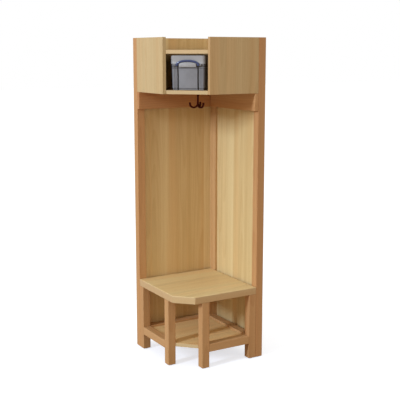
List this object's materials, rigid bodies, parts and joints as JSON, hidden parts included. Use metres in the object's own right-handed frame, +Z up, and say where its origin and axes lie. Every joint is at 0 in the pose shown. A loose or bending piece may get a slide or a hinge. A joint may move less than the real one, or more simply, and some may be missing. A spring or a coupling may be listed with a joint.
{
  "type": "corner cloakroom locker",
  "caption": "Wooden corner locker of two framed walls with a bench, a shoe shelf, a ceiling hook and a top cabinet that holds a pull-out lidded storage box.",
  "frame": {"origin": "on the floor, in the middle of the square plan", "axes": "+Z up, +Y towards the back wall, +X towards the side wall, so the open corner faces -X -Y"},
  "size_m": [0.475, 0.475, 1.6],
  "materials": {
    "solid_beech": "satin lacquer",
    "wall_panel_beech": "satin lacquer",
    "board_beech": "satin lacquer",
    "shelf_beech": "satin lacquer",
    "seat_beech": "satin lacquer",
    "steel": "zinc plated",
    "dark_metal": "dark bronze lacquer",
    "tub_plastic": "cloudy translucent",
    "lid_plastic": "satin",
    "clip_plastic": "satin",
    "glide_plastic": "matt"
  },
  "bodies": {
    "locker_frame": {"back_wall_corner_post": "solid_beech", "back_wall_end_post": "solid_beech", "back_wall_panel": "wall_panel_beech", "bench_bolt_back": "steel", "bench_bolt_side": "steel", "bench_leg_back_left": "solid_beech", "bench_leg_corner": "solid_beech", "bench_leg_front_left": "solid_beech", "bench_leg_front_right": "solid_beech", "bench_leg_side_right": "solid_beech", "cabinet_bottom": "board_beech", "cabinet_side_left": "board_beech", "cabinet_side_right": "board_beech", "cabinet_top": "board_beech", "ceiling_hook_base": "dark_metal", "glide_back_left": "glide_plastic", "glide_back_wall_corner": "glide_plastic", "glide_back_wall_end": "glide_plastic", "glide_corner": "glide_plastic", "glide_front_left": "glide_plastic", "glide_front_right": "glide_plastic", "glide_side_right": "glide_plastic", "glide_side_wall_front": "glide_plastic", "glide_side_wall_rear": "glide_plastic", "hook_rail_back": "solid_beech", "hook_rail_side": "solid_beech", "hook_screw_1": "steel", "hook_screw_2": "steel", "hook_screw_3": "steel", "lower_rail_back": "solid_beech", "lower_rail_left": "solid_beech", "lower_rail_right": "solid_beech", "lower_rail_side": "solid_beech", "seat_board": "seat_beech", "seat_bracket_back_left": "steel", "seat_bracket_corner": "steel", "seat_bracket_front_left": "steel", "seat_bracket_front_right": "steel", "seat_bracket_side_right": "steel", "shelf_cleat_back": "solid_beech", "shelf_cleat_left": "solid_beech", "shelf_cleat_right": "solid_beech", "shelf_cleat_side": "solid_beech", "shoe_shelf": "shelf_beech", "side_wall_front_post": "solid_beech", "side_wall_panel": "wall_panel_beech", "side_wall_rear_post": "solid_beech", "wall_bolt_1": "steel", "wall_bolt_2": "steel", "wall_bolt_3": "steel"},
    "storage_box": {"box_tub": "tub_plastic", "box_lid": "lid_plastic"},
    "front_clip": {"box_clip_front": "clip_plastic"},
    "rear_clip": {"box_clip_rear": "clip_plastic"},
    "swivel_hook": {"ceiling_hook": "dark_metal"}
  },
  "joints": [
    {"name": "box_slide", "type": "slide", "parent": "locker_frame", "child": "storage_box", "axis": [-0.7071, -0.7071, 0], "range_m": [0, 0.25]},
    {"name": "front_clip_hinge", "type": "hinge", "parent": "storage_box", "child": "front_clip", "pos_m": [-0.14033, -0.14033, 1.4713], "axis": [0.7071, -0.7071, 0], "range_deg": [0, 120]},
    {"name": "rear_clip_hinge", "type": "hinge", "parent": "storage_box", "child": "rear_clip", "pos_m": [0.07817, 0.07817, 1.4713], "axis": [-0.7071, 0.7071, 0], "range_deg": [0, 120]},
    {"name": "hook_swivel", "type": "hinge", "parent": "locker_frame", "child": "swivel_hook", "pos_m": [-0.0045, -0.0045, 1.3], "axis": [0, 0, 1], "continuous": true}
  ]
}
